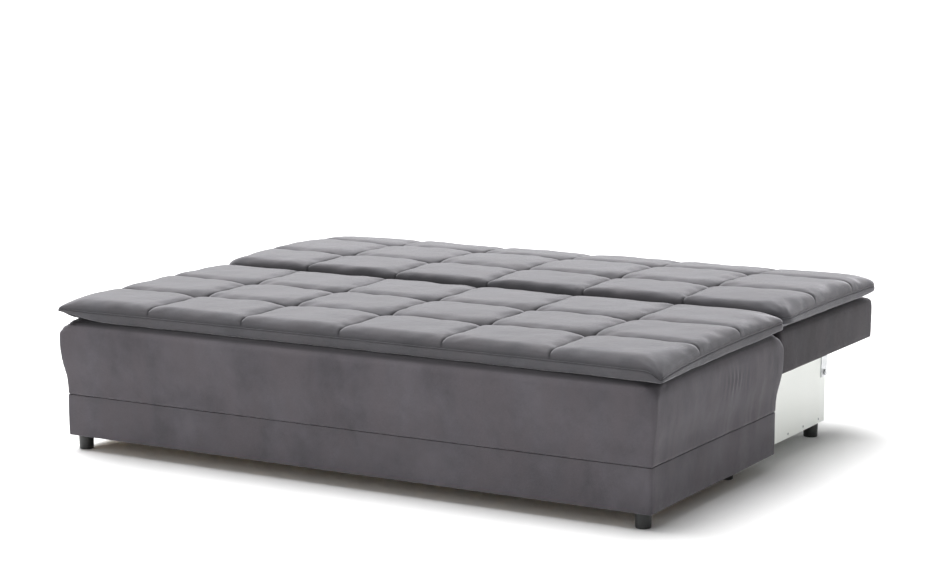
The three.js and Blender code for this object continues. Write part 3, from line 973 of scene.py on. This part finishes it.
slab_low, slab_high = span("back_cover")
slab_height = slab_high.z - slab_low.z
rail_low = span("back_side_rail_right")[0]
rear_rail_high = span("back_rear_rail")[1]
foam_high = span("back_foam")[1]
ARM_SLOT_TOP = 0.344  # height over the floor
ARM_ROOM = 0.007  # on each side of an arm


def slab_ripple(p):
    """Soft waves on the slab's walls."""
    if p.z > slab_high.z - 0.004 or p.z < slab_low.z + 0.001:
        return p
    wave = fractal(p, 6.0, 21.0) * 0.0018
    centre_y = (slab_low.y + slab_high.y) / 2
    return push_out(p, centre_y, slab_high.x, (slab_high.y - slab_low.y) / 2, wave, p.z)


# (height over the slab's underside, inset)
SLAB_PROFILE = [
    (0.0, 0.0035),
    (0.0015, 0.001),
    (0.004, 0.0),
    (0.02, -0.0006),
    (0.045, -0.001),
    (0.075, -0.001),
    (slab_height - 0.03, -0.0004),
    (slab_height - 0.014, 0.0006),
    (slab_height - 0.008, 0.003),
    (slab_height - 0.0035, 0.007),
    (slab_height - 0.001, 0.013),
    (slab_height, 0.022),
]


def make_back_cover():
    levels = []
    for h, inset in SLAB_PROFILE:
        front, rear = slab_low.y + inset, slab_high.y - inset
        levels.append((slab_high.x - inset, front, rear, 0.012, slab_low.z + h))
    name, node = "back_cover_velvet", "back_cover"
    cover = ring_body(name, levels, PLAIN_SPACING, "back_velvet", node, slab_ripple)
    x = foam_high.x + BOARD_CLEARANCE
    rear = rear_rail_high.y + BOARD_CLEARANCE
    inside = ((-x, rail_low.y - 0.0006, 0.0), (x, rear, foam_high.z + 0.0004))
    slots = []
    arm_low, arm_high = span("swing_arm_right")
    for side in (1, -1):
        a, b = sorted((side * (arm_low.x - ARM_ROOM), side * (arm_high.x + ARM_ROOM)))
        slots.append(((a, slab_low.y - 0.02, 0.0), (b, rail_low.y + 0.001, ARM_SLOT_TOP)))
    carve(cover, [inside, *slots])
    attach(cover, "back_unit")


make_back_cover()


# ---- Foam blocks and dust cloth ------------------------------------------------------------------
def foam_block(name, node, body):
    """A foam block with worn top edges and a slightly sunk top."""
    low, high = span(node)
    tool = bmesh.new()
    bmesh.ops.create_grid(tool, x_segments=60, y_segments=26, size=0.5)
    bmesh.ops.solidify(tool, geom=list(tool.faces), thickness=1.0)
    mesh = bpy.data.meshes.new(name)
    tool.to_mesh(mesh)
    tool.free()
    zs = [v.co.z for v in mesh.vertices]
    z0, z1 = min(zs), max(zs)
    for v in mesh.vertices:
        tx, ty, tz = v.co.x + 0.5, v.co.y + 0.5, (v.co.z - z0) / (z1 - z0)
        x = low.x + (high.x - low.x) * tx
        y = low.y + (high.y - low.y) * ty
        sink = abs(fractal((x, y, tz), 7.0, 5.0)) * 0.002
        near = min(x - low.x, high.x - x, y - low.y, high.y - y)
        edge = 0.004 * max(0.0, 1 - near / 0.02) ** 2
        v.co = (x, y, low.z + (high.z - low.z) * tz + ((-sink - edge) if tz > 0.5 else 0))
    obj = bpy.data.objects.new(name, mesh)
    bpy.context.scene.collection.objects.link(obj)
    mesh.materials.append(LOOKS["foam"])
    mesh.shade_smooth()
    mesh.set_sharp_from_angle(angle=math.radians(40))
    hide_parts(node)
    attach(obj, body)


foam_block("seat_foam_block", "seat_foam", "seat_unit")
foam_block("back_foam_block", "back_foam", "back_unit")

# the cloth's slots for the arms, as in the CAD
SLOT_IN, SLOT_OUT = 0.870, 0.906
SLOT_END = 0.990 - 0.79625  # the CAD's place, less half the joint depth
CLOTH_THICKNESS = 0.0006


def grid_places(low, high, count, extra):
    """Even places from low to high, with the extra ones among them."""
    even = {round(low + (high - low) * i / count, 4) for i in range(count + 1)}
    return sorted(even | set(extra))


def make_dust_cloth():
    low, high = span("back_dust_cover")
    xs = grid_places(low.x, high.x, 90, (-SLOT_OUT, -SLOT_IN, SLOT_IN, SLOT_OUT))
    ys = grid_places(low.y, high.y, 40, (round(SLOT_END, 4),))
    points, faces = [], []
    for y in ys:
        for x in xs:
            sag = abs(fractal((x, y, 0.0), 4.0, 2.0)) * 0.0008
            points.append((x, y, high.z - 0.0003 - sag))
    width = len(xs)
    for j in range(len(ys) - 1):
        for i in range(width - 1):
            mid_x = abs(xs[i] + xs[i + 1]) / 2
            mid_y = (ys[j] + ys[j + 1]) / 2
            if SLOT_IN < mid_x < SLOT_OUT and mid_y < SLOT_END:
                continue
            a = j * width + i
            faces.append((a, a + width, a + width + 1, a + 1))
    cloth = new_object("back_dust_cloth", points, faces, "dust_cloth", "back_dust_cover")
    solid = cloth.modifiers.new("thickness", "SOLIDIFY")
    solid.thickness = CLOTH_THICKNESS
    solid.offset = 1.0
    apply_modifiers(cloth)
    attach(cloth, "back_unit")


make_dust_cloth()


# ---- Looks for the CAD nodes that stay -----------------------------------------------------------
def dress_cad():
    slots = {s["node"]: s["material_slot"] for s in frame["record"]["subparts"]}
    for name, obj in frame["nodes"].items():
        if obj.hide_render:
            continue
        material = LOOKS[slots[name]]
        obj.data.materials.clear()
        obj.data.materials.append(material)


dress_cad()


# ---- Room ----------------------------------------------------------------------------------------
FLOOR_HALF = 150  # half the side of the floor
WORLD_STRENGTH = 0.33


def add_light(name, kind, power, direction):
    """A light that shines along the direction."""
    data = bpy.data.lights.new(name, kind)
    data.energy = power
    light = bpy.data.objects.new(name, data)
    bpy.context.scene.collection.objects.link(light)
    light.rotation_euler = Vector(direction).to_track_quat("-Z", "Y").to_euler()
    return light


def make_room():
    mesh = bpy.data.meshes.new("floor")
    size = FLOOR_HALF
    corners = [(-size, -size, 0), (size, -size, 0), (size, size, 0), (-size, size, 0)]
    mesh.from_pydata(corners, [], [(0, 1, 2, 3)])
    floor = bpy.data.objects.new("floor", mesh)
    bpy.context.scene.collection.objects.link(floor)
    n = Nodes("floor")
    tone = n.ramp(n.noise(0.6, 2.0), [(0.3, (0.9, 0.9, 0.9)), (0.7, (0.93, 0.93, 0.93))])
    mesh.materials.append(n.finish(tone, 0.95, None))

    world = bpy.data.worlds.new("studio")
    bpy.context.scene.world = world
    world.use_nodes = True
    background = world.node_tree.nodes["Background"]
    background.inputs["Color"].default_value = (1, 1, 1, 1)
    background.inputs["Strength"].default_value = WORLD_STRENGTH

    top = add_light("top_light", "SUN", 5.4, (0.42, -0.26, -1.0))
    top.data.angle = math.radians(58)
    fill = add_light("front_fill", "SUN", 0.8, (0.7, 1.0, -0.3))
    fill.data.angle = math.radians(40)
    softbox = add_light("rear_softbox", "AREA", 150, (1.3, -1.2, -2.4))
    softbox.data.shape = "RECTANGLE"
    softbox.data.size, softbox.data.size_y = 5.0, 3.0
    softbox.location = (-2.4, 2.4, 2.8)


make_room()
bpy.context.scene.view_settings.view_transform = "Standard"
